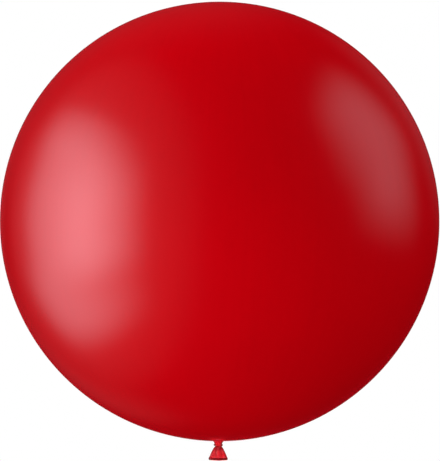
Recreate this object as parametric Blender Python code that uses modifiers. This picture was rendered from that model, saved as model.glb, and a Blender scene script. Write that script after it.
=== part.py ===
# Giant round latex balloon, blown up and tied off at its neck.
#
# Five pieces of one dipped skin, as they differ on the tied balloon: the blown
# envelope, the gathered neck under it, the knot, the flared tail below the knot
# and the rolled lip round the tail's mouth.
#
# Metres, +Z up, origin at the centre of the sphere. The mouth's long side lies
# along X.

import math

import bpy

# Envelope
BALLOON_DIAMETER = 0.800
SKIN_WALL = 0.001            # drawn skin; the blown latex itself is far thinner
CROWN_FLAT_RADIUS = 0.006    # small flat spot where the crown bears on a ceiling
FUNNEL_RADIUS = 0.011        # hollow curve from the sphere into the neck
THROAT_RADIUS = 0.0060       # radius that this curve runs out to
RIM_RADIUS = 0.010           # where the blown skin ends and the gathered neck begins

# Knot: one turn of a tapered strand, its ends tucked in beside each other
KNOT_HEIGHT = -0.4092        # height of the knot's middle
KNOT_RING_RADIUS = 0.0048
KNOT_STRAND_RADIUS = 0.0024
KNOT_TIP_RADIUS = 0.0008
KNOT_TUCK = 0.0014           # how far the tips lie nearer the core
KNOT_RISE = 0.00145          # each tip's height above or below the middle
KNOT_TURN = math.radians(430)
KNOT_START = math.radians(25)
KNOT_POINTS = 56

# Neck and the strand that it sends down through the knot
NECK_SIDE_END = -0.4062      # its curved side stops here and turns in over the knot
NECK_BOTTOM = -0.4066
NECK_HEEL = ((0.0003, -0.4066), (0.0006, -0.4066), (0.0012, -0.4061))  # how far in, and height
NECK_UNDERSIDE = -0.4060
CORE_RADIUS = 0.0021
CORE_CORNER = 0.0006         # slope where the strand leaves the neck

# Tail
TAIL_TOP = -0.4124
TAIL_WAIST_RADIUS = 0.0053
TAIL_MOUTH = -0.4341
TAIL_MOUTH_HALF_WIDTH = 0.0163
TAIL_MOUTH_HALF_DEPTH = 0.0090
TAIL_FLARE = 0.82            # under 1, the side bows outwards on its way down
TAIL_HOLLOW_TOP = -0.4146
TAIL_WALL = 0.0010
TAIL_SHOULDER = 0.0012       # rounding where the tail's top turns into its side

# Lip
LIP_BEAD_RADIUS = 0.0013
LIP_INSET = 0.0005           # its middle lies this far inside the tail's outer face

# Pleats of the gathered latex, with a ridge at the front, the back and both ends
PLEAT_COUNT = 8
NECK_PLEAT_DEPTH = 0.00035
TAIL_PLEAT_DEPTH = 0.00060
MOUTH_PLEAT_DEPTH = 0.00025
PLEAT_CORE = 0.004           # inside this radius the pleats and the oval fade out

# Linear colour and roughness of the same latex in each of its states
STRETCHED_LATEX = ((0.50, 0.004, 0.010), 0.28)
GATHERED_LATEX = ((0.46, 0.008, 0.014), 0.38)
KNOTTED_LATEX = ((0.44, 0.008, 0.014), 0.38)
SLACK_LATEX = ((0.55, 0.020, 0.030), 0.40)
ROLLED_LATEX = ((0.26, 0.003, 0.006), 0.42)

TOUCH_GAP = 0.0003
MERGE = 0.00001
SHARP_ANGLE = math.radians(50)

ENVELOPE_STEPS = 56
GATHER_STEPS = 64
SPHERE_ARC_POINTS = 15
FUNNEL_POINTS = 5
NECK_POINTS = 6
TAIL_ROWS = 7
SHOULDER_POINTS = 3
LIP_POINTS = 56
KNOT_BEVEL_RESOLUTION = 3
LIP_BEVEL_RESOLUTION = 2

SPHERE_RADIUS = BALLOON_DIAMETER / 2
FRONT = -math.pi / 2


def clear_scene():
    for obj in list(bpy.data.objects):
        bpy.data.objects.remove(obj, do_unlink=True)


def part_collection():
    collection = bpy.data.collections.new("giant_latex_balloon")
    bpy.context.scene.collection.children.link(collection)
    return collection


def latex(name, color, roughness):
    material = bpy.data.materials.new(name)
    material.use_nodes = True
    shader = material.node_tree.nodes["Principled BSDF"]
    shader.inputs["Base Color"].default_value = (*color, 1.0)
    shader.inputs["Roughness"].default_value = roughness
    shader.inputs["Metallic"].default_value = 0.0
    return material


def arc(centre, radius, start, end, segments):
    """Points (r, z) of an arc, its angles measured from the +r direction."""
    points = []
    for index in range(segments + 1):
        angle = start + (end - start) * index / segments
        points.append((centre[0] + radius * math.cos(angle), centre[1] + radius * math.sin(angle)))
    return points


def turned(name, profile, steps, collection):
    """An object whose (r, z) profile a Screw modifier turns about Z."""
    mesh = bpy.data.meshes.new(name)
    edges = [(index, index + 1) for index in range(len(profile) - 1)]
    mesh.from_pydata([(r, 0.0, z) for r, z in profile], edges, [])
    obj = bpy.data.objects.new(name, mesh)
    collection.objects.link(obj)
    screw = obj.modifiers.new("turn", "SCREW")
    screw.axis = "Z"
    screw.steps = steps
    screw.render_steps = steps
    screw.use_merge_vertices = True
    screw.merge_threshold = MERGE
    screw.use_smooth_shade = True
    return obj


def frozen(obj, collection):
    """The evaluated object as a plain mesh object under the same name."""
    depsgraph = bpy.context.evaluated_depsgraph_get()
    mesh = bpy.data.meshes.new_from_object(obj.evaluated_get(depsgraph))
    name = obj.name
    bpy.data.objects.remove(obj, do_unlink=True)
    mesh.name = name
    result = bpy.data.objects.new(name, mesh)
    collection.objects.link(result)
    return result


def shaded(obj):
    obj.data.shade_smooth()
    obj.data.set_sharp_from_angle(angle=SHARP_ANGLE)


def pleat(angle):
    return math.cos(PLEAT_COUNT * (angle - FRONT))


def funnel_curve():
    """Centre (r, z) of the hollow curve that meets the sphere and the throat."""
    r = THROAT_RADIUS + FUNNEL_RADIUS
    z = -math.sqrt((SPHERE_RADIUS + FUNNEL_RADIUS) ** 2 - r ** 2)
    return r, z


def funnel_angle_at_radius(r):
    return math.acos((r - funnel_curve()[0]) / FUNNEL_RADIUS)


def funnel_angle_at_height(z):
    return math.pi - math.asin((z - funnel_curve()[1]) / FUNNEL_RADIUS)


def make_envelope(collection):
    crown_angle = math.acos(CROWN_FLAT_RADIUS / SPHERE_RADIUS)
    funnel_r, funnel_z = funnel_curve()
    foot_angle = math.atan2(funnel_z, funnel_r)
    tangent_angle = math.atan2(-funnel_z, -funnel_r)
    centre = (0.0, 0.0)
    profile = [(0.0, SPHERE_RADIUS * math.sin(crown_angle))]
    profile += arc(centre, SPHERE_RADIUS, crown_angle, 0.0, SPHERE_ARC_POINTS)
    profile += arc(centre, SPHERE_RADIUS, 0.0, foot_angle, SPHERE_ARC_POINTS)[1:]
    rim_angle = funnel_angle_at_radius(RIM_RADIUS)
    profile += arc(funnel_curve(), FUNNEL_RADIUS, tangent_angle, rim_angle, FUNNEL_POINTS)[1:]

    envelope = turned("envelope", profile, ENVELOPE_STEPS, collection)
    wall = envelope.modifiers.new("wall", "SOLIDIFY")
    wall.thickness = SKIN_WALL
    wall.offset = -1.0
    wall.use_even_offset = True
    envelope.data.materials.append(latex("stretched_red_latex", *STRETCHED_LATEX))
    return envelope


def make_neck(collection):
    """Pleated bundle that fills the envelope's rim, with the strand through the knot."""
    centre = funnel_curve()
    start = funnel_angle_at_radius(RIM_RADIUS) + TOUCH_GAP / FUNNEL_RADIUS
    end = funnel_angle_at_height(NECK_SIDE_END)
    outer = arc(centre, FUNNEL_RADIUS, start, end, NECK_POINTS)
    rim_inside = arc(centre, FUNNEL_RADIUS + SKIN_WALL, start, start, 1)[0]
    side_end = outer[-1][0]
    profile = [(0.0, rim_inside[1]), (PLEAT_CORE, rim_inside[1]), rim_inside]
    profile += outer
    profile += [(side_end - inward, z) for inward, z in NECK_HEEL]
    profile += [
        (KNOT_RING_RADIUS, NECK_UNDERSIDE),
        (CORE_RADIUS + CORE_CORNER, NECK_UNDERSIDE),
        (CORE_RADIUS, NECK_UNDERSIDE - CORE_CORNER),
        (CORE_RADIUS, TAIL_TOP + TOUCH_GAP),
        (0.0, TAIL_TOP + TOUCH_GAP),
    ]
    neck = frozen(turned("neck", profile, GATHER_STEPS, collection), collection)

    top = rim_inside[1]
    for vertex in neck.data.vertices:
        x, y, z = vertex.co
        radius = math.hypot(x, y)
        if radius < CORE_RADIUS + MERGE:
            continue
        angle = math.atan2(y, x)
        depth = NECK_PLEAT_DEPTH * min(1.0, max(0.0, (top - z) / (top - NECK_BOTTOM)))
        grown = radius + depth * pleat(angle) * min(1.0, radius / PLEAT_CORE)
        vertex.co = (grown * math.cos(angle), grown * math.sin(angle), z)
    shaded(neck)
    neck.data.materials.append(latex("gathered_red_latex", *GATHERED_LATEX))
    return neck


def make_knot(collection):
    curve = bpy.data.curves.new("knot", "CURVE")
    curve.dimensions = "3D"
    curve.bevel_depth = KNOT_STRAND_RADIUS
    curve.bevel_resolution = KNOT_BEVEL_RESOLUTION
    curve.use_fill_caps = True
    spline = curve.splines.new("POLY")
    spline.points.add(KNOT_POINTS - 1)
    for index, point in enumerate(spline.points):
        share = index / (KNOT_POINTS - 1)
        swell = math.sin(math.pi * share)
        angle = KNOT_START + KNOT_TURN * share
        ring = KNOT_RING_RADIUS - KNOT_TUCK * (1 - swell) ** 2
        height = KNOT_HEIGHT + KNOT_RISE * math.cos(math.pi * share)
        point.co = (ring * math.cos(angle), ring * math.sin(angle), height, 1.0)
        tip = KNOT_TIP_RADIUS / KNOT_STRAND_RADIUS
        point.radius = tip + (1 - tip) * swell
    knot = bpy.data.objects.new("knot", curve)
    collection.objects.link(knot)
    curve.materials.append(latex("knotted_red_latex", *KNOTTED_LATEX))
    return knot


def tail_share(z):
    """How far the tail has opened: 0 at its waist, 1 at its mouth."""
    down = min(1.0, max(0.0, (TAIL_TOP - z) / (TAIL_TOP - TAIL_MOUTH)))
    return down ** TAIL_FLARE


def tail_half_width(z):
    return TAIL_WAIST_RADIUS + (TAIL_MOUTH_HALF_WIDTH - TAIL_WAIST_RADIUS) * tail_share(z)


def tail_half_depth(z):
    return TAIL_WAIST_RADIUS + (TAIL_MOUTH_HALF_DEPTH - TAIL_WAIST_RADIUS) * tail_share(z)


def pleated_oval(radius, angle, z):
    """A point of the turned tail, pressed from round to oval and folded into pleats."""
    fold = TAIL_PLEAT_DEPTH + (MOUTH_PLEAT_DEPTH - TAIL_PLEAT_DEPTH) * tail_share(z)
    lift = fold * pleat(angle) * min(1.0, radius / PLEAT_CORE)
    pressed = tail_half_width(z) - tail_half_depth(z)
    return (radius + lift) * math.cos(angle), (radius + lift - pressed) * math.sin(angle)


def make_tail(collection):
    """Hollow skirt, closed where the knot pinches it and open at its mouth."""
    shoulder = TAIL_TOP - TAIL_SHOULDER
    shoulder_centre = (tail_half_width(shoulder) - TAIL_SHOULDER, shoulder)
    profile = [(0.0, TAIL_TOP), (PLEAT_CORE, TAIL_TOP)]
    profile += arc(shoulder_centre, TAIL_SHOULDER, math.pi / 2, 0.0, SHOULDER_POINTS)
    for row in range(1, TAIL_ROWS + 1):
        z = shoulder + (TAIL_MOUTH - shoulder) * row / TAIL_ROWS
        profile.append((tail_half_width(z), z))
    for row in range(TAIL_ROWS + 1):
        z = TAIL_MOUTH + (TAIL_HOLLOW_TOP - TAIL_MOUTH) * row / TAIL_ROWS
        profile.append((tail_half_width(z) - TAIL_WALL, z))
    profile.append((0.0, TAIL_HOLLOW_TOP))
    tail = frozen(turned("tail", profile, GATHER_STEPS, collection), collection)

    for vertex in tail.data.vertices:
        x, y, z = vertex.co
        vertex.co = (*pleated_oval(math.hypot(x, y), math.atan2(y, x), z), z)
    shaded(tail)
    tail.data.materials.append(latex("slack_red_latex", *SLACK_LATEX))
    return tail


def make_lip(collection):
    curve = bpy.data.curves.new("lip", "CURVE")
    curve.dimensions = "3D"
    curve.bevel_depth = LIP_BEAD_RADIUS
    curve.bevel_resolution = LIP_BEVEL_RESOLUTION
    spline = curve.splines.new("POLY")
    spline.points.add(LIP_POINTS - 1)
    spline.use_cyclic_u = True
    height = TAIL_MOUTH - TOUCH_GAP - LIP_BEAD_RADIUS
    for index, point in enumerate(spline.points):
        angle = 2 * math.pi * index / LIP_POINTS
        x = (TAIL_MOUTH_HALF_WIDTH - LIP_INSET) * math.cos(angle)
        y = (TAIL_MOUTH_HALF_DEPTH - LIP_INSET) * math.sin(angle)
        point.co = (x, y, height, 1.0)
    lip = bpy.data.objects.new("lip", curve)
    collection.objects.link(lip)
    curve.materials.append(latex("rolled_red_latex", *ROLLED_LATEX))
    return lip


def main():
    clear_scene()
    collection = part_collection()
    make_envelope(collection)
    make_neck(collection)
    make_knot(collection)
    make_tail(collection)
    make_lip(collection)


main()
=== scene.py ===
import math

import bmesh
import bpy
from mathutils import Matrix, Vector


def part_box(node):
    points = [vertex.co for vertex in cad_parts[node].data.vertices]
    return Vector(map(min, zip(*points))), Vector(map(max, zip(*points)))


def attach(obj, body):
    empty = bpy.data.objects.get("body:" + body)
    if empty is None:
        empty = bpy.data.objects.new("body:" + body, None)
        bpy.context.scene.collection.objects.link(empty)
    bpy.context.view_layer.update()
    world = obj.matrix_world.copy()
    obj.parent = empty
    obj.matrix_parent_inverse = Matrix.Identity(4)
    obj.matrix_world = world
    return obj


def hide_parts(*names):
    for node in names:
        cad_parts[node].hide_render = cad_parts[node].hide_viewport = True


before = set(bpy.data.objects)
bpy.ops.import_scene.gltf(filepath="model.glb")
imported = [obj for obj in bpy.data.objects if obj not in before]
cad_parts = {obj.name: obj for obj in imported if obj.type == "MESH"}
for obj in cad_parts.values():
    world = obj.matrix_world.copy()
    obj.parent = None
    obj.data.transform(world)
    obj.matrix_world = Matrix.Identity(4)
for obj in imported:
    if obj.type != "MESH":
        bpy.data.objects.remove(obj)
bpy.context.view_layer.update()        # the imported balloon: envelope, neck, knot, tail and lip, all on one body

# Giant round latex balloon: the skin, the knot, the slack tail and its rolled lip.
# Metres, Z up, origin at the centre of the sphere, the viewer of the photograph at -Y.

millimetre = 0.001
scene = bpy.context.scene
print("frame loaded,", len(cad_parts), "nodes")


# Helpers

# sockets of a Mix node, which has several of each name
numberA, numberB = 2, 3
colorA, colorB, colorOut = 6, 7, 2


def linearColor(hexText):
    # sRGB hex to the linear values that a shader takes
    channels = [int(hexText[place:place + 2], 16) / 255 for place in (1, 3, 5)]
    return [c / 12.92 if c <= 0.04045 else ((c + 0.055) / 1.055) ** 2.4 for c in channels] + [1.0]


def addNode(tree, kind, settings=None, links=None):
    # one node with its settings or socket values, and the outputs that feed its sockets
    node = tree.nodes.new(kind)
    for name, value in (settings or {}).items():
        if isinstance(name, int) or name in node.inputs:
            node.inputs[name].default_value = value
        else:
            setattr(node, name, value)
    for name, source in (links or {}).items():
        tree.links.new(source, node.inputs[name])
    return node


def smoothStep(low, high, value):
    share = min(1.0, max(0.0, (value - low) / (high - low)))
    return share * share * (3 - 2 * share)


def azimuthOf(point):
    # 0 at the front (-Y), growing towards +X
    return math.atan2(point.x, -point.y)


def addObject(name, data):
    thing = bpy.data.objects.new(name, data)
    scene.collection.objects.link(thing)
    return thing


def lookFrom(place, aim, roll=0.0):
    # the place and turn of a camera or lamp that looks from one point at another
    turn = (Vector(aim) - Vector(place)).to_track_quat("-Z", "Y").to_matrix().to_4x4()
    return Matrix.Translation(place) @ turn @ Matrix.Rotation(roll, 4, "Z")


def extrudeRim(bm, rim):
    # a strip of faces on an open rim, with its new points and the new rim
    grown = bmesh.ops.extrude_edge_only(bm, edges=rim)["geom"]
    verts = [g for g in grown if isinstance(g, bmesh.types.BMVert)]
    edges = [g for g in grown if isinstance(g, bmesh.types.BMEdge) and len(g.link_faces) == 1]
    return verts, edges


def growRing(bm, rim, radius, height):
    # the next ring of a round piece
    verts, grown = extrudeRim(bm, rim)
    for vert in verts:
        flat = Vector((vert.co.x, vert.co.y, 0)).normalized() * radius
        vert.co = (flat.x, flat.y, height)
    return grown


def closeRim(bm, rim, height):
    # runs a rim in to one point on the axis
    last = growRing(bm, rim, 0.0, height)
    verts = {vert for edge in last for vert in edge.verts}
    bmesh.ops.pointmerge(bm, verts=list(verts), merge_co=(0, 0, height))


def finishPiece(bm, name, material, slot, *replaced):
    bmesh.ops.recalc_face_normals(bm, faces=bm.faces)
    mesh = bpy.data.meshes.new(name)
    bm.to_mesh(mesh)
    bm.free()
    mesh.shade_smooth()
    mesh.materials.append(material)
    piece = addObject(name, mesh)
    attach(piece, "root")
    if replaced:
        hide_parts(*replaced)
    print(name, len(mesh.polygons), "faces")


# Camera, from the photograph: level with the sphere's centre, with a long lens

view = {
    "distance": 3.5,
    "sensor": 36,                # mm
    "lens": 149.21,              # mm, so that the sphere is 439 pixels wide in the 440 x 461 frame
    "aimBelow": 0.01640,         # the sphere sits a little above the frame's middle
    "aimRight": 0.00073,
    "roll": math.radians(0.35),  # the tail hangs a pixel left of the sphere's middle
}


def makeCamera():
    data = bpy.data.cameras.new("photoCamera")
    data.lens = view["lens"]
    data.sensor_width = view["sensor"]
    camera = addObject("photoCamera", data)
    aim = (view["aimRight"], 0, -view["aimBelow"])
    camera.matrix_world = lookFrom((0, -view["distance"], 0), aim, view["roll"])
    scene.camera = camera


makeCamera()
print("camera set")


# Pleats, which the neck, the knot and the tail share

# A number added to an angle only sets where round the axis a wave begins.
pleatMean = 0.64                             # what pleatWave averages, so that pleats lift and sink alike
pleatDrift = ((0.9, 3, 1.0), (0.6, 5, 2.1))  # radians off even spacing, times round, share of the seed


def pleatWave(angle, count, seed):
    # round ridges with tight valleys between them, unevenly spaced, 0 in a valley and 1 on a ridge
    drift = sum(size * math.sin(times * angle + turn * seed) for size, times, turn in pleatDrift)
    return abs(math.sin((count * angle + drift) / 2))


# Skin: the blown sphere and the neck that gathers under it

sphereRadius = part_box("envelope")[1].x
knotLow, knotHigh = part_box("knot")
tailLow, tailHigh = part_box("tail")
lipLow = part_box("lip")[0]

skin = {
    "segments": 240,
    "rings": 96,
    "throat": 6.05 * millimetre,     # radius where the neck is tightest
    "fillet": 11.0 * millimetre,     # curve from the sphere into the neck
    "filletRings": 12,
    "neckFoot": -0.4064,             # the neck's side ends here and rounds in on the knot's top
    # rings below that: share of the neck's side radius, and mm further down
    "foot": ((0.985, 0.25), (0.955, 0.5), (0.90, 0.75), (0.82, 0.95), (0.70, 1.1), (0.60, 1.2),
             (0.52, 1.8), (0.52, 5.4)),
    "footEnd": 5.8 * millimetre,     # the bundle that runs down through the knot closes here
    "plain": 3.06 * millimetre,      # nearer to the axis than this there are no folds
    "pleats": 22,
    "pleatSeed": 1.3,
    "pleatDepth": 0.55 * millimetre,
    "pleatEnds": (8 * millimetre, 19 * millimetre),      # from the axis, where the neck's pleats die out
    "creaseSeed": 4.2,
    "creaseDepth": 0.14 * millimetre,
    "creaseEnds": (14 * millimetre, 60 * millimetre),    # where the creases in the round skin die out
    "creaseRings": 26,
    "ringSpread": 1.4,               # over 1, those rings lie closer near the neck
    "uneven": 0.35,                  # how much weaker some creases are
    "foldTurn": (10 * millimetre, 22 * millimetre),      # where folds turn to lift off the sphere
    # the neck's sides, seen edge on, get painted shade: share of the way out to them, and how much darker
    "sides": (0.55, 0.92),
    "paintedSideShade": 0.85,
}


def skinCrease(vert):
    # radial folds that the tight neck pulls into the round skin: how ridged it is there, and how far it lifts
    angle = azimuthOf(vert.co)
    out = math.hypot(vert.co.x, vert.co.y)
    fine = pleatWave(angle, skin["pleats"], skin["pleatSeed"])
    coarse = pleatWave(angle, skin["pleats"] // 2, skin["creaseSeed"])
    onNeck = 1 - smoothStep(*skin["pleatEnds"], out)
    onSphere = 1 - smoothStep(*skin["creaseEnds"], out)
    uneven = 1 - skin["uneven"] + skin["uneven"] * math.sin(2 * angle + 0.7)
    lift = onNeck * skin["pleatDepth"] * (fine - pleatMean)
    lift += onSphere ** 2 * uneven * skin["creaseDepth"] * (coarse - pleatMean)
    return fine, lift


def makeSkin(material):
    bm = bmesh.new()
    bmesh.ops.create_uvsphere(bm, u_segments=skin["segments"], v_segments=skin["rings"],
                              radius=sphereRadius)

    filletOut = skin["throat"] + skin["fillet"]
    filletZ = -math.sqrt((sphereRadius + skin["fillet"]) ** 2 - filletOut ** 2)
    meetOut = filletOut * sphereRadius / (sphereRadius + skin["fillet"])
    creaseReach = skin["creaseEnds"][1]

    # closer rings where the creases run, then the bottom cap is cut off
    for step in range(skin["creaseRings"] + 1):
        share = (step / skin["creaseRings"]) ** skin["ringSpread"]
        out = meetOut + (creaseReach - meetOut) * share
        cut = bmesh.ops.bisect_plane(
            bm, geom=bm.verts[:] + bm.edges[:] + bm.faces[:], dist=1e-7,
            plane_co=(0, 0, -math.sqrt(sphereRadius ** 2 - out ** 2)),
            plane_no=(0, 0, -1), clear_outer=step == 0)
        if step == 0:
            rim = [edge for edge in cut["geom_cut"] if isinstance(edge, bmesh.types.BMEdge)]
    for vert in bm.verts:
        vert.co = vert.co.normalized() * sphereRadius

    # the fillet runs the skin into the neck, and the neck turns in over the knot
    start = math.atan2(-filletZ, -filletOut)
    end = math.pi - math.asin((skin["neckFoot"] - filletZ) / skin["fillet"])
    for step in range(1, skin["filletRings"] + 1):
        angle = start + (end - start) * step / skin["filletRings"]
        radius = filletOut + skin["fillet"] * math.cos(angle)
        rim = growRing(bm, rim, radius, filletZ + skin["fillet"] * math.sin(angle))
    side = filletOut + skin["fillet"] * math.cos(end)
    for reach, down in skin["foot"]:
        rim = growRing(bm, rim, side * reach, skin["neckFoot"] - down * millimetre)
    closeRim(bm, rim, skin["neckFoot"] - skin["footEnd"])

    # the fold attribute carries painted shade: darker between the pleats and on the neck's sides
    fold = bm.verts.layers.float.new("fold")
    for vert in bm.verts:
        vert[fold] = 1.0
        out = math.hypot(vert.co.x, vert.co.y)
        if vert.co.z < 0 and skin["plain"] < out < creaseReach:
            ridge, lift = skinCrease(vert)
            # painted shade on the neck's sides, seen edge on
            paintedSideMask = smoothStep(*skin["sides"], abs(vert.co.x) / out)
            vert[fold] = ridge * (1 - skin["paintedSideShade"] * paintedSideMask)
            away = Vector((vert.co.x, vert.co.y, 0)).normalized()
            facing = smoothStep(*skin["foldTurn"], out)
            direction = (away * (1 - facing) + vert.co.normalized() * facing).normalized()
            vert.co += direction * lift
    finishPiece(bm, "balloonSkin", material, "latex_stretched", "envelope", "neck")


# Knot: the neck's strand rolled once round itself

knot = {
    "ring": 6.40 * millimetre,       # from the axis to the strand's middle
    "strand": 2.25 * millimetre,     # half its thickness
    "sectionTall": 1.05,             # its section is a little taller than wide
    "turn": math.radians(430),
    "begin": math.radians(145),      # azimuth of the first tucked end
    "steps": 172,
    "around": 40,
    "rise": 0.45 * millimetre,       # each end's height above or below the middle
    "drop": 0.15 * millimetre,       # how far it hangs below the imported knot's middle
    "tilt": 0.80 * millimetre,       # its front lies this much higher than its sides
    "tuck": 1.6 * millimetre,        # how much nearer the axis the ends lie
    "tip": 0.35,                     # the ends' share of the thickness
    "taper": 0.6,                    # under 1, it thins late, close to its ends
    "folds": 6,                      # lengthwise folds round the strand
    "foldSeed": 2.6,
    "foldDepth": 0.26 * millimetre,
    "foldTwist": 3.0,
    # azimuths in degrees where the strand is pinched, so that a lump faces each way
    "pinches": (-38, 36, 142, 214),
    "pinchDepth": 0.26,
    "pinchWidth": math.radians(8),
    "paintedFoldShade": 0.40,               # painted shade between its folds: how much darker it is there
    # the lumps at both sides get painted shade: sine of the azimuth, from and to
    "sides": (0.45, 0.78),
    "paintedSideShade": 0.95,
    # the strand's underside gets painted shade too: sine of the angle down from its outer edge
    "under": (-0.1, 0.9),
    "paintedUnderShade": 0.50,
}


def strandPoint(share, around, middle):
    # a point of the knot's surface: share runs along the strand, around goes round its section
    azimuth = knot["begin"] + knot["turn"] * share
    swell = math.sin(math.pi * share)
    thick = knot["strand"] * (knot["tip"] + (1 - knot["tip"]) * swell ** knot["taper"])
    for place in knot["pinches"]:
        away = (azimuth - math.radians(place) + math.pi) % (2 * math.pi) - math.pi
        thick *= 1 - knot["pinchDepth"] * math.exp(-(away / knot["pinchWidth"]) ** 2)
    fold = pleatWave(around + knot["foldTwist"] * share, knot["folds"], knot["foldSeed"])
    section = thick + knot["foldDepth"] * (fold - pleatMean) * min(1.0, thick / knot["strand"])
    ring = knot["ring"] - knot["tuck"] * (1 - swell) ** 2
    out = ring + section * math.cos(around)
    height = middle + knot["rise"] * math.cos(math.pi * share) + knot["tilt"] * math.cos(azimuth)
    height += knot["sectionTall"] * section * math.sin(around)
    # tone is painted shade: darker between the folds, on the side lumps and on the underside
    tone = 1 - knot["paintedFoldShade"] + knot["paintedFoldShade"] * fold
    tone *= 1 - knot["paintedSideShade"] * smoothStep(*knot["sides"], abs(math.sin(azimuth)))
    tone *= 1 - knot["paintedUnderShade"] * smoothStep(*knot["under"], -math.sin(around))
    return Vector((out * math.sin(azimuth), -out * math.cos(azimuth), height)), tone


def makeKnot(material):
    middle = (knotLow.z + knotHigh.z) / 2 - knot["drop"]
    bm = bmesh.new()
    aroundLayer = bm.verts.layers.float.new("around")
    paintedShadeLayer = bm.verts.layers.float.new("fold")
    ring = bmesh.ops.create_circle(bm, cap_ends=False, segments=knot["around"], radius=1.0)["verts"]
    for vert in ring:
        vert[aroundLayer] = math.atan2(vert.co.y, vert.co.x)
    rim = list(bm.edges)
    for step in range(knot["steps"] + 1):
        share = step / knot["steps"]
        if step:
            ring, rim = extrudeRim(bm, rim)
        for vert in ring:
            vert.co, vert[paintedShadeLayer] = strandPoint(share, vert[aroundLayer], middle)
    bmesh.ops.holes_fill(bm, edges=[edge for edge in bm.edges if edge.is_boundary], sides=knot["around"])
    finishPiece(bm, "rolledKnot", material, "latex_gathered", "knot")


# Tail: the slack skin that flares out under the knot

tail = {
    "segments": 192,
    "rows": 34,
    "waist": 6.0 * millimetre,
    "halfWidth": 17.2 * millimetre,  # at the mouth, along X
    "halfDepth": 9.0 * millimetre,   # at the mouth, along Y
    "flare": 0.80,                   # under 1, the side bows outwards on its way down
    "wall": 0.7 * millimetre,
    "hidden": 2.3 * millimetre,      # how far its closed top reaches up into the knot
    "topRadius": 2.4 * millimetre,
    "topDome": 0.1 * millimetre,
    # rings of the rounded shoulder: share of the side's radius there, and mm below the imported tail's top
    "shoulder": ((0.58, -1.6), (0.75, -1.1), (0.87, -0.6), (0.94, -0.2), (0.975, 0.25), (1.0, 0.75)),
    "sideBegins": 1.25 * millimetre,
    "overrun": 0.9 * millimetre,     # its edge runs on into the lip's bead
    "hollowTop": 2.2 * millimetre,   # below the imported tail's top
    "hollowDome": 0.8 * millimetre,
    "plain": 0.7,                    # share of the waist, inside which the folds fade to nothing
    "ridges": 8,                     # front, back, both ends and between them
    "ridgeDrift": 0.25,              # radians off an even spacing
    "ridgeDepth": (0.50 * millimetre, 0.80 * millimetre, 0.30 * millimetre),    # at waist, half way, mouth
    # how far open the tail is, from 0 at the waist to 1 at the mouth, where each change begins and ends
    "ridgesGrow": (0.0, 0.5),
    "ridgesEase": (0.6, 1.0),
    "wrinklesEnd": (0.15, 0.75),
    "paintedKnotShade": (0.04, 0.60),           # bunched under the knot, where it gets painted shade
    "band": (0.80, 0.93),            # just above the lip it is pulled smooth, and the painted shade lifts there
    "bandSmooth": 0.5,               # how far that painted shade lifts
    "wrinkles": 25,
    "wrinkleSeed": 0.8,
    "wrinkleDepth": 0.28 * millimetre,
    "sway": 0.35 * millimetre,       # how far the mouth strays from a clean oval
    "paintedFoldTones": (0.35, 0.40, 0.25),     # painted shade of the folds: how bright it is everywhere, more on a ridge, and more on a wrinkle
    # at both sides, where the flattened tail turns, it gets painted shade: sine of the azimuth, from and to
    "sides": (0.86, 1.0),
    "paintedSideShade": 0.85,
}


def tailShare(height):
    # how far the tail has opened at this height: 0 at the waist, 1 at the mouth
    return min(1.0, max(0.0, (tailHigh.z - height) / (tailHigh.z - tailLow.z))) ** tail["flare"]


def tailRadius(height):
    return tail["waist"] + (tail["halfWidth"] - tail["waist"]) * tailShare(height)


def mouthSway(angle, size):
    # the mouth's uneven outline in X and Y, which the tail and its lip share
    return size * 0.5 * math.sin(2 * angle + 0.4), size * math.sin(3 * angle + 1.9)


def tailPaintedShade(angle, share, ridge, wrinkle):
    # painted shade, from 0 in the deep folds to 1 on the skin that stands out, darker too at the sides and under
    # the knot
    plain, onRidge, onWrinkle = tail["paintedFoldTones"]
    shadedSide = smoothStep(*tail["sides"], abs(math.sin(angle)))
    smooth = tail["bandSmooth"] * smoothStep(*tail["band"], share)
    folded = (plain + onRidge * ridge + onWrinkle * wrinkle) * (1 - tail["paintedSideShade"] * shadedSide)
    return (folded * (1 - smooth) + smooth) * smoothStep(*tail["paintedKnotShade"], share)


def tailShape(vert):
    # from a round funnel to an oval one with ridges, wrinkles and an uneven mouth
    angle = azimuthOf(vert.co)
    share = tailShare(vert.co.z)
    out = math.hypot(vert.co.x, vert.co.y)
    wide = tailRadius(vert.co.z)
    deep = tail["waist"] + (tail["halfDepth"] - tail["waist"]) * share
    atWaist, halfWay, atMouth = tail["ridgeDepth"]
    ridgeDepth = atWaist + (halfWay - atWaist) * smoothStep(*tail["ridgesGrow"], share)
    ridgeDepth += (atMouth - halfWay) * smoothStep(*tail["ridgesEase"], share)
    ridge = (1 + math.cos(tail["ridges"] * angle + tail["ridgeDrift"] * math.sin(2 * angle + 0.3))) / 2
    wrinkle = pleatWave(angle, tail["wrinkles"], tail["wrinkleSeed"])
    wrinkleDepth = tail["wrinkleDepth"] * (1 - smoothStep(*tail["wrinklesEnd"], share))
    fade = min(1.0, out / (tail["plain"] * tail["waist"])) ** 2
    lifted = out + (ridgeDepth * (ridge - 0.5) + wrinkleDepth * (wrinkle - pleatMean)) * fade
    swayX, swayY = mouthSway(angle, tail["sway"] * share ** 2)
    vert.co.x = math.sin(angle) * lifted + swayX
    vert.co.y = -math.cos(angle) * lifted * deep / wide + swayY
    return tailPaintedShade(angle, share, ridge, wrinkle)


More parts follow.
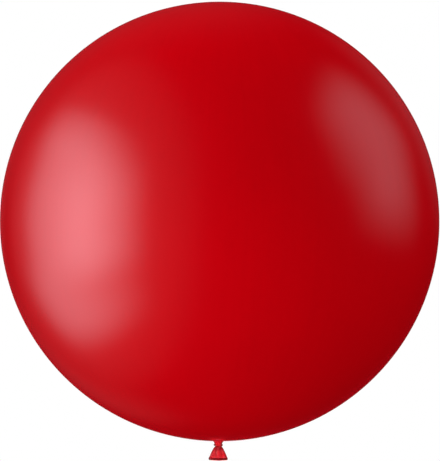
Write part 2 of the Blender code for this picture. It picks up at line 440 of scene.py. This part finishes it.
def makeTail(material):
    bm = bmesh.new()
    paintedShadeLayer = bm.verts.layers.float.new("fold")
    top = tailHigh.z + tail["hidden"]
    bmesh.ops.create_circle(bm, cap_ends=False, segments=tail["segments"], radius=tail["topRadius"],
                            matrix=Matrix.Translation((0, 0, top)))
    rim = list(bm.edges)
    for reach, down in tail["shoulder"]:
        height = tailHigh.z - down * millimetre
        rim = growRing(bm, rim, tailRadius(height) * reach, height)

    # down the outside to the mouth, and back up the inside in half as many rows
    mouth = tailLow.z - tail["overrun"]
    first = tailHigh.z - tail["sideBegins"]
    for row in range(tail["rows"] + 1):
        height = first + (mouth - first) * row / tail["rows"]
        rim = growRing(bm, rim, tailRadius(height), height)
    hollowTop = tailHigh.z - tail["hollowTop"]
    insideRows = tail["rows"] // 2
    for row in range(insideRows + 1):
        height = mouth + (hollowTop - mouth) * row / insideRows
        rim = growRing(bm, rim, tailRadius(height) - tail["wall"], height)
    closeRim(bm, rim, hollowTop + tail["hollowDome"])
    closeRim(bm, [edge for edge in bm.edges if edge.is_boundary], top + tail["topDome"])

    onAxis = 0.1 * millimetre
    for vert in bm.verts:
        if math.hypot(vert.co.x, vert.co.y) > onAxis:
            vert[paintedShadeLayer] = tailShape(vert)
    finishPiece(bm, "slackTail", material, "latex_slack", "tail")


# Lip: the bead that the mouth's edge is rolled into

lip = {
    "bead": 1.30 * millimetre,       # half its thickness
    "tall": 1.8,                     # the roll lies flat on the mouth's edge, so it is taller than thick
    "segments": 192,
    "around": 28,
    "halfWidth": 16.20 * millimetre,
    "halfDepth": 8.60 * millimetre,
    "rollStep": 0.22 * millimetre,   # the last turn of the roll stands this proud
    "rollEnd": 0.9,                  # radians below its outer side, where that turn ends
    "lumps": ((0.06, 5, 1.2), (0.036, 11, 0.0)),     # share of the bead, times round, and where they begin
    "turnUp": 0.5 * millimetre,      # its ends lie this much higher than its front and back
    "sag": 0.25 * millimetre,
}


def makeLip(material):
    middle = lipLow.z + lip["bead"] * lip["tall"] - lip["sag"]
    bm = bmesh.new()
    bmesh.ops.create_circle(bm, cap_ends=False, segments=lip["around"], radius=lip["bead"])
    for vert in bm.verts:
        around = math.atan2(vert.co.y, vert.co.x)          # 0 points outwards
        turn = (around + lip["rollEnd"]) % (2 * math.pi) / (2 * math.pi)
        vert.co *= 1 + (lip["rollStep"] / lip["bead"]) * (0.5 - turn)
        vert.co.y *= lip["tall"]
    bmesh.ops.rotate(bm, verts=bm.verts, cent=(0, 0, 0), matrix=Matrix.Rotation(math.pi / 2, 3, "X"))
    bmesh.ops.translate(bm, verts=bm.verts, vec=(lip["halfWidth"], 0, middle))
    bmesh.ops.spin(bm, geom=bm.verts[:] + bm.edges[:], cent=(0, 0, 0), axis=(0, 0, 1),
                   angle=2 * math.pi, steps=lip["segments"], use_merge=True)

    # from a round ring to the mouth's uneven oval
    for vert in bm.verts:
        angle = azimuthOf(vert.co)
        out = math.hypot(vert.co.x, vert.co.y)
        bead = Vector((out - lip["halfWidth"], vert.co.z - middle))
        bead *= 1 + sum(size * math.sin(times * angle + begin) for size, times, begin in lip["lumps"])
        swayX, swayY = mouthSway(angle, tail["sway"])
        vert.co.x = math.sin(angle) * (lip["halfWidth"] + bead.x) + swayX
        vert.co.y = -math.cos(angle) * (lip["halfDepth"] + bead.x) + swayY
        vert.co.z = middle + bead.y + lip["turnUp"] * math.sin(angle) ** 2
    finishPiece(bm, "rolledLip", material, "latex_lip", "lip")


# Finishes: one natural rubber latex, dyed red and dipped, in four states

latexIOR = 1.52

stretchedFinish = {
    "color": "#cb000c",
    "thick": "#960007",              # less stretched latex is thicker and darker: streaks, crown's spot
    "gathered": "#e5202b",           # the neck's folds, no longer stretched
    "paintedCreaseShade": "#9c0a13",             # painted shade between those folds
    "neck": (0.018, 0.0085),         # metres from the axis over which the skin turns into folds
    "foldReach": 0.0045,             # the folds' ridges keep the gathered colour this much further out
    "crown": (0.027, 0.009),         # metres from the axis: the spot's edge and its darkest part
    "crownShade": 0.55,
    "cloud": 7.0,                    # per metre: clouds of thicker and thinner latex, about 140 mm across
    "cloudShade": 0.14,
    # streaks where the dip ran, 10 mm wide and 200 mm long at the middle, drawn about twice as coarse as real
    # ones so that they show
    "streaks": 38.0,                 # per radian
    "streakLength": 5.0,             # per metre
    "streakShade": 0.13,
    "roughness": (0.222, 0.262),     # from one cloud to the next
    "neckRoughness": 0.50,
    "peel": 210.0,                   # per metre: the dipped surface's faint orange peel, 5 mm apart
    "peelDepth": 0.00006,
    "bloom": 0.18,                   # the faint haze of stretched rubber, which lightens its edge
    "bloomRoughness": 0.25,
    "bloomColor": "#ff3040",
}

# Ridge and valley are the colours of the folds; the valley colour is painted shade where the fold attribute
# is low. Glow and depth are how much light sinks into the latex and how far, in metres. Grain is the fine
# wrinkling, per radian round the axis and per metre down it, or per metre each way where the first is 0.
foldedFinishes = {
    "knottedRedLatexRolled": {        # grain of 1 mm
        "ridge": "#ee2530", "valleyShade": "#7c0812", "roughness": (0.34, 0.48), "gloss": 0.22,
        "glow": 0.35, "depth": 0.0020, "grain": (0, 900), "grainDepth": 0.00012, "dust": 0.10},
    "slackRedLatexDipped": {          # wrinkles 0.5 mm wide and 9 mm long, down the tail
        "ridge": "#ec2a37", "valleyShade": "#a20d16", "roughness": (0.48, 0.62), "gloss": 0.12,
        "glow": 0.6, "depth": 0.0070, "grain": (26, 110), "grainDepth": 0.00008, "dust": 0.08},
    # the bead has no fold attribute, so it is mostly the valley colour: thicker rolled latex, partly painted
    # shade
    "beadedRedLatexRolled": {         # lines 3 mm long and 0.4 mm high, along the bead
        "ridge": "#a0101a", "valleyShade": "#860811", "roughness": (0.34, 0.48), "gloss": 0.18,
        "glow": 0.15, "depth": 0.0012, "grain": (5, 2600), "grainDepth": 0.00006, "dust": 0.03},
}

# what the three folded finishes share
foldedLook = {
    "glowReach": (1.0, 0.15, 0.10),  # how far red, green and blue light get, as shares of the depth
    "grainRange": (0.30, 0.70),      # the noise's darkest and brightest values that count
    "grainTone": 0.16,               # how far the grain shifts the tone of a fold
    "patches": 240.0,                # per metre: dust and handling in patches of 4 mm
    "dustRange": (0.44, 0.78),
    "dustColor": "#e9b4ae",          # the powder that keeps stored balloons from sticking together
    "roughRange": (0.35, 0.65),
}


def newLatex(name):
    material = bpy.data.materials.new(name)
    material.use_nodes = True
    shader = material.node_tree.nodes["Principled BSDF"]
    shader.inputs["IOR"].default_value = latexIOR
    return material, material.node_tree, shader


def grainPlace(tree, split, around, down):
    # coordinates that run round the axis and down it, so that grain can be drawn out in either direction
    flat = addNode(tree, "ShaderNodeCombineXYZ", links={0: split.outputs["X"], 1: split.outputs["Y"]})
    turned = addNode(tree, "ShaderNodeVectorMath", {"operation": "NORMALIZE"}, {0: flat.outputs[0]})
    wide = addNode(tree, "ShaderNodeVectorMath", {"operation": "SCALE", "Scale": around},
                   {0: turned.outputs[0]})
    low = addNode(tree, "ShaderNodeMath", {"operation": "MULTIPLY", 1: down}, {0: split.outputs["Z"]})
    tall = addNode(tree, "ShaderNodeCombineXYZ", links={2: low.outputs[0]})
    return addNode(tree, "ShaderNodeVectorMath", {"operation": "ADD"},
                   {0: wide.outputs[0], 1: tall.outputs[0]})


def stretchedLatex():
    # dipped natural rubber blown tight: deep even red and a clean soft gloss that pales a little at the edge,
    # with faint clouds and streaks where the dip ran, a darker spot at the crown, and matt folds at the neck,
    # which carry painted shade between them and on the neck's sides
    material, tree, shader = newLatex("stretchedRedLatexDipped")
    finish = stretchedFinish
    shader.inputs["Sheen Weight"].default_value = finish["bloom"]
    shader.inputs["Sheen Roughness"].default_value = finish["bloomRoughness"]
    shader.inputs["Sheen Tint"].default_value = linearColor(finish["bloomColor"])
    place = addNode(tree, "ShaderNodeTexCoord")
    split = addNode(tree, "ShaderNodeSeparateXYZ", links={0: place.outputs["Object"]})
    flat = addNode(tree, "ShaderNodeCombineXYZ", links={0: split.outputs["X"], 1: split.outputs["Y"]})
    out = addNode(tree, "ShaderNodeVectorMath", {"operation": "LENGTH"}, {0: flat.outputs[0]})
    below = addNode(tree, "ShaderNodeMath", {"operation": "LESS_THAN", 1: 0.0}, {0: split.outputs["Z"]})
    above = addNode(tree, "ShaderNodeMath", {"operation": "GREATER_THAN", 1: 0.0}, {0: split.outputs["Z"]})

    # thicker latex, in clouds, streaks and the crown's spot
    cloud = addNode(tree, "ShaderNodeTexNoise", {"Scale": finish["cloud"], "Detail": 2.0},
                    {"Vector": place.outputs["Object"]})
    drawn = grainPlace(tree, split, finish["streaks"], finish["streakLength"])
    streak = addNode(tree, "ShaderNodeTexNoise", {"Scale": 1.0, "Detail": 3.0}, {"Vector": drawn.outputs[0]})
    clouds = addNode(tree, "ShaderNodeMath", {"operation": "MULTIPLY", 1: finish["cloudShade"]},
                     {0: cloud.outputs[0]})
    shade = addNode(tree, "ShaderNodeMath", {"operation": "MULTIPLY_ADD", 1: finish["streakShade"]},
                    {0: streak.outputs[0], 2: clouds.outputs[0]})
    crownFrom, crownTo = finish["crown"]
    crown = addNode(tree, "ShaderNodeMapRange", {"interpolation_type": "SMOOTHSTEP", "From Min": crownFrom,
                                                 "From Max": crownTo, "To Max": finish["crownShade"]},
                    {"Value": out.outputs["Value"]})
    spot = addNode(tree, "ShaderNodeMath", {"operation": "MULTIPLY_ADD"},
                   {0: crown.outputs[0], 1: above.outputs[0], 2: shade.outputs[0]})
    body = addNode(tree, "ShaderNodeMix", {"data_type": "RGBA", colorA: linearColor(finish["color"]),
                                           colorB: linearColor(finish["thick"])}, {0: spot.outputs[0]})

    # the neck's folds, which reach out under the sphere on their ridges, with painted shade between them
    fold = addNode(tree, "ShaderNodeAttribute", {"attribute_name": "fold"})
    folds = addNode(tree, "ShaderNodeMix", {"data_type": "RGBA", colorA: linearColor(finish["paintedCreaseShade"]),
                                            colorB: linearColor(finish["gathered"])},
                    {0: fold.outputs["Fac"]})
    reach = addNode(tree, "ShaderNodeMath", {"operation": "MULTIPLY_ADD", 1: -finish["foldReach"]},
                    {0: fold.outputs["Fac"], 2: out.outputs["Value"]})
    neckFrom, neckTo = finish["neck"]
    near = addNode(tree, "ShaderNodeMapRange", {"interpolation_type": "SMOOTHSTEP", "From Min": neckFrom,
                                                "From Max": neckTo}, {"Value": reach.outputs[0]})
    neck = addNode(tree, "ShaderNodeMath", {"operation": "MULTIPLY"},
                   {0: near.outputs[0], 1: below.outputs[0]})
    color = addNode(tree, "ShaderNodeMix", {"data_type": "RGBA"},
                    {0: neck.outputs[0], colorA: body.outputs[colorOut], colorB: folds.outputs[colorOut]})
    tree.links.new(color.outputs[colorOut], shader.inputs["Base Color"])

    smoothest, roughest = finish["roughness"]
    rough = addNode(tree, "ShaderNodeMapRange", {"To Min": smoothest, "To Max": roughest},
                    {"Value": cloud.outputs[0]})
    matt = addNode(tree, "ShaderNodeMix", {numberB: finish["neckRoughness"]},
                   {0: neck.outputs[0], numberA: rough.outputs[0]})
    tree.links.new(matt.outputs[0], shader.inputs["Roughness"])
    peel = addNode(tree, "ShaderNodeTexNoise", {"Scale": finish["peel"], "Detail": 1.0},
                   {"Vector": place.outputs["Object"]})
    bump = addNode(tree, "ShaderNodeBump", {"Distance": finish["peelDepth"]}, {"Height": peel.outputs[0]})
    tree.links.new(bump.outputs[0], shader.inputs["Normal"])
    return material


def foldedLatex(name):
    # slack or rolled natural rubber: soft satin, bright on its ridges, with painted shade between them, finely
    # wrinkled and with a trace of powder
    finish = foldedFinishes[name]
    material, tree, shader = newLatex(name)
    shader.inputs["Specular IOR Level"].default_value = finish["gloss"]
    shader.inputs["Subsurface Weight"].default_value = finish["glow"]
    shader.inputs["Subsurface Radius"].default_value = foldedLook["glowReach"]
    shader.inputs["Subsurface Scale"].default_value = finish["depth"]
    place = addNode(tree, "ShaderNodeTexCoord")
    split = addNode(tree, "ShaderNodeSeparateXYZ", links={0: place.outputs["Object"]})
    around, down = finish["grain"]
    if around:
        drawn = grainPlace(tree, split, around, down)
        grain = addNode(tree, "ShaderNodeTexNoise", {"Scale": 1.0, "Detail": 4.0},
                        {"Vector": drawn.outputs[0]})
    else:
        grain = addNode(tree, "ShaderNodeTexNoise", {"Scale": down, "Detail": 4.0},
                        {"Vector": place.outputs["Object"]})
    patch = addNode(tree, "ShaderNodeTexNoise", {"Scale": foldedLook["patches"], "Detail": 3.0},
                    {"Vector": place.outputs["Object"]})

    # the folds' painted shade, broken up by the grain, and powder over it
    fold = addNode(tree, "ShaderNodeAttribute", {"attribute_name": "fold"})
    grainFrom, grainTo = foldedLook["grainRange"]
    grainTone = foldedLook["grainTone"]
    uneven = addNode(tree, "ShaderNodeMapRange", {"From Min": grainFrom, "From Max": grainTo,
                                                  "To Min": -grainTone, "To Max": grainTone},
                     {"Value": grain.outputs[0]})
    tone = addNode(tree, "ShaderNodeMath", {"operation": "ADD", "use_clamp": True},
                   {0: fold.outputs["Fac"], 1: uneven.outputs[0]})
    mix = addNode(tree, "ShaderNodeMix", {"data_type": "RGBA", colorA: linearColor(finish["valleyShade"]),
                                          colorB: linearColor(finish["ridge"])}, {0: tone.outputs[0]})
    dustFrom, dustTo = foldedLook["dustRange"]
    powder = addNode(tree, "ShaderNodeMapRange", {"interpolation_type": "SMOOTHSTEP", "From Min": dustFrom,
                                                  "From Max": dustTo, "To Max": finish["dust"]},
                     {"Value": patch.outputs[0]})
    dusted = addNode(tree, "ShaderNodeMix", {"data_type": "RGBA",
                                             colorB: linearColor(foldedLook["dustColor"])},
                     {0: powder.outputs[0], colorA: mix.outputs[colorOut]})
    tree.links.new(dusted.outputs[colorOut], shader.inputs["Base Color"])

    roughFrom, roughTo = foldedLook["roughRange"]
    smoothest, roughest = finish["roughness"]
    rough = addNode(tree, "ShaderNodeMapRange", {"From Min": roughFrom, "From Max": roughTo,
                                                 "To Min": smoothest, "To Max": roughest},
                    {"Value": patch.outputs[0]})
    tree.links.new(rough.outputs[0], shader.inputs["Roughness"])
    bump = addNode(tree, "ShaderNodeBump", {"Distance": finish["grainDepth"]}, {"Height": grain.outputs[0]})
    tree.links.new(bump.outputs[0], shader.inputs["Normal"])
    return material


makeSkin(stretchedLatex())
makeKnot(foldedLatex("knottedRedLatexRolled"))
makeTail(foldedLatex("slackRedLatexDipped"))
makeLip(foldedLatex("beadedRedLatexRolled"))


# Studio: soft panels, a pale floor and a white surround

glossTint = (0.79, 0.91, 1.0)        # the soft boxes are cooler than the room

# These are the panels that the latex mirrors. Azimuth runs from the camera's direction, right is positive.
# The edges are metres from the panel's aim, and each fade is how far its light takes to grow from that edge,
# both in the order left, right, bottom, top.
glossPanels = {
    "keyTop": {"azimuth": -77, "distance": 1.75, "radiance": 1.95,
               "edges": (-1.72, 1.50, 0.50, 1.56), "fades": (1.85, 1.65, 0.5, 0.3)},
    "keyMiddle": {"azimuth": -77, "distance": 1.80, "radiance": 4.3,
                  "edges": (-1.40, 1.85, -0.90, 1.38), "fades": (1.8, 1.5, 0.6, 0.95)},
    "keyHeart": {"azimuth": -77, "distance": 1.90, "radiance": 1.45,
                 "edges": (-0.35, 1.90, -1.10, 1.12), "fades": (0.8, 1.5, 0.7, 1.0)},
    "keyLower": {"azimuth": -77, "distance": 1.85, "radiance": 2.65,
                 "edges": (-1.90, 1.80, -2.22, -0.30), "fades": (1.92, 1.75, 0.97, 0.6)},
    "keyGlow": {"azimuth": -77, "distance": 1.95, "radiance": 0.30,
                "edges": (-3.3, 6.5, -6.5, 6.5), "fades": (3.3, 6.5, 6.5, 6.5)},
    "rimUpper": {"azimuth": 100, "distance": 1.80, "radiance": 1.05,
                 "edges": (-1.75, 0.95, 0.30, 2.80), "fades": (1.25, 1.3, 0.7, 1.3)},
    "rimLower": {"azimuth": 100, "distance": 1.85, "radiance": 1.10,
                 "edges": (-1.45, 0.58, -0.36, 1.00), "fades": (1.0, 1.05, 0.85, 0.7)},
    "backGlow": {"azimuth": -170, "elevation": 40, "distance": 2.4, "radiance": 0.03,
                 "edges": (-1.3, 3.0, -2.5, 2.5), "fades": (1.3, 2.0, 1.5, 1.5)},
    "lowGlow": {"azimuth": -146, "elevation": -44, "distance": 2.4, "radiance": 0.058,
                "edges": (-0.7, 1.6, -1.4, 2.2), "fades": (0.7, 1.4, 1.2, 2.0)},
    "sideGlow": {"azimuth": 151, "elevation": 17, "distance": 2.4, "radiance": 0.07,
                 "edges": (-1.2, 0.6, -1.0, 1.3), "fades": (1.1, 0.8, 1.0, 1.1)},
    "leftGlow": {"azimuth": -160, "distance": 2.4, "radiance": 0.045,
                 "edges": (-0.9, 0.9, -0.6, 0.6), "fades": (0.9, 0.9, 0.6, 0.6)},
}

# these only light the latex's colour
fillShape = {"distance": 2.4, "edges": (-1, 1, -1, 1)}
fillPanels = {
    "leftFill": {"azimuth": -45, "elevation": -20, "radiance": 1.80},
    "frontFill": {"azimuth": -15, "elevation": -20, "radiance": 1.33},
    "highLeft": {"azimuth": -120, "elevation": 70, "radiance": 2.89},
    "sideRight": {"azimuth": 105, "radiance": 1.82},
    "lowBack": {"azimuth": -165, "elevation": -45, "radiance": 2.64},
}

# a small lamp on the knot and the tail, which hang in the sphere's shade
tailLamp = {
    "place": (1.00, -2.10, -0.25),
    "aim": (0.0, 0.0, -0.422),
    "power": 70.0,
    "beam": math.radians(2.2),
    "edge": 0.8,
    "radius": 0.02,
}

# even light from above and from below, which only the latex's colour takes
roomLight = {
    "roomAbove": {"turn": 0, "radiance": 0.60},
    "roomBelow": {"turn": math.pi, "radiance": 0.30},
}

floor = {
    "height": -1.30,
    "radius": 6.4,
    "fadeFrom": 2.4,
    "segments": 96,
    "color": "#f0eeec",
}


def lightsOnly(lamp, what):
    lamp.visible_camera = False
    lamp.visible_glossy = what == "gloss"
    lamp.visible_diffuse = what == "color"
    lamp.data.cycles.use_multiple_importance_sampling = what == "gloss"


def makePanel(name, panel, lights):
    left, right, bottom, top = panel["edges"]
    data = bpy.data.lights.new(name, "AREA")
    data.shape = "RECTANGLE"
    data.size = right - left
    data.size_y = top - bottom
    data.energy = panel["radiance"] * math.pi * (right - left) * (top - bottom)
    lamp = addObject(name, data)
    azimuth = math.radians(panel["azimuth"])
    level = math.radians(panel.get("elevation", 0))
    out = Vector((math.sin(azimuth) * math.cos(level), -math.cos(azimuth) * math.cos(level), math.sin(level)))
    side = Vector((math.cos(azimuth), math.sin(azimuth), 0))
    up = out.cross(side)
    place = out * panel["distance"] + side * (left + right) / 2 + up * (bottom + top) / 2
    turn = Matrix((side, up, out)).transposed().to_4x4()
    lamp.matrix_world = Matrix.Translation(place) @ turn
    lightsOnly(lamp, lights)
    return data


def fadePanel(data, fades):
    # its light grows smoothly from each edge, so that the latex mirrors no hard outline
    data.color = glossTint
    data.use_nodes = True
    tree = data.node_tree
    place = addNode(tree, "ShaderNodeNewGeometry")
    across = addNode(tree, "ShaderNodeSeparateXYZ", links={0: place.outputs["Parametric"]})
    strength = None
    for axis, (low, high), size in ((0, fades[:2], data.size), (1, fades[2:], data.size_y)):
        for start, end in ((0, low / size), (1, 1 - high / size)):
            edge = addNode(tree, "ShaderNodeMapRange",
                           {"interpolation_type": "SMOOTHSTEP", "From Min": start, "From Max": end},
                           {"Value": across.outputs[axis]})
            if strength:
                edge = addNode(tree, "ShaderNodeMath", {"operation": "MULTIPLY"},
                               {0: strength.outputs[0], 1: edge.outputs[0]})
            strength = edge
    tree.links.new(strength.outputs[0], tree.nodes["Emission"].inputs["Strength"])


def makeTailLamp():
    data = bpy.data.lights.new("tailLamp", "SPOT")
    data.energy = tailLamp["power"]
    data.spot_size = tailLamp["beam"]
    data.spot_blend = tailLamp["edge"]
    data.shadow_soft_size = tailLamp["radius"]
    lamp = addObject("tailLamp", data)
    lamp.matrix_world = lookFrom(tailLamp["place"], tailLamp["aim"])
    lightsOnly(lamp, "color")


def makeFloor():
    # pale and plain, it melts into the white surround, and it is seen from above only
    bm = bmesh.new()
    bmesh.ops.create_circle(bm, cap_ends=True, segments=floor["segments"], radius=floor["radius"],
                            matrix=Matrix.Translation((0, 0, floor["height"])))
    mesh = bpy.data.meshes.new("studioFloor")
    bm.to_mesh(mesh)
    bm.free()
    material = bpy.data.materials.new("paleFloorPaint")
    material.use_nodes = True
    tree = material.node_tree
    tree.nodes.clear()
    place = addNode(tree, "ShaderNodeTexCoord")
    out = addNode(tree, "ShaderNodeVectorMath", {"operation": "LENGTH"}, {0: place.outputs["Object"]})
    fade = addNode(tree, "ShaderNodeMapRange", {"interpolation_type": "SMOOTHSTEP",
                                                "From Min": floor["radius"], "From Max": floor["fadeFrom"]},
                   {"Value": out.outputs["Value"]})
    paint = addNode(tree, "ShaderNodeEmission", {"Color": linearColor(floor["color"])})
    clear = addNode(tree, "ShaderNodeBsdfTransparent")
    side = addNode(tree, "ShaderNodeNewGeometry")
    seen = addNode(tree, "ShaderNodeMath", {"operation": "SUBTRACT", "use_clamp": True},
                   {0: fade.outputs[0], 1: side.outputs["Backfacing"]})
    mix = addNode(tree, "ShaderNodeMixShader",
                  links={0: seen.outputs[0], 1: clear.outputs[0], 2: paint.outputs[0]})
    addNode(tree, "ShaderNodeOutputMaterial", links={"Surface": mix.outputs[0]})
    mesh.materials.append(material)
    piece = addObject("studioFloor", mesh)
    for kind in ("diffuse", "glossy", "shadow"):
        setattr(piece, "visible_" + kind, False)


def makeRoom():
    # a white surround that only the camera sees, and the even light
    world = bpy.data.worlds.new("studioRoom")
    scene.world = world
    world.use_nodes = True
    world.node_tree.nodes["Background"].inputs["Color"].default_value = (1, 1, 1, 1)
    for kind in ("diffuse", "glossy", "transmission", "scatter"):
        setattr(world.cycles_visibility, kind, False)
    for name, half in roomLight.items():
        data = bpy.data.lights.new(name, "SUN")
        data.angle = math.pi
        data.energy = half["radiance"] * math.pi
        lamp = addObject(name, data)
        lamp.matrix_world = Matrix.Rotation(half["turn"], 4, "X")
        lightsOnly(lamp, "color")


for name, panel in glossPanels.items():
    fadePanel(makePanel(name, panel, "gloss"), panel["fades"])
for name, panel in fillPanels.items():
    makePanel(name, {**fillShape, **panel}, "color")
makeTailLamp()
makeFloor()
makeRoom()
scene.view_settings.view_transform = "Standard"
print("studio lit")
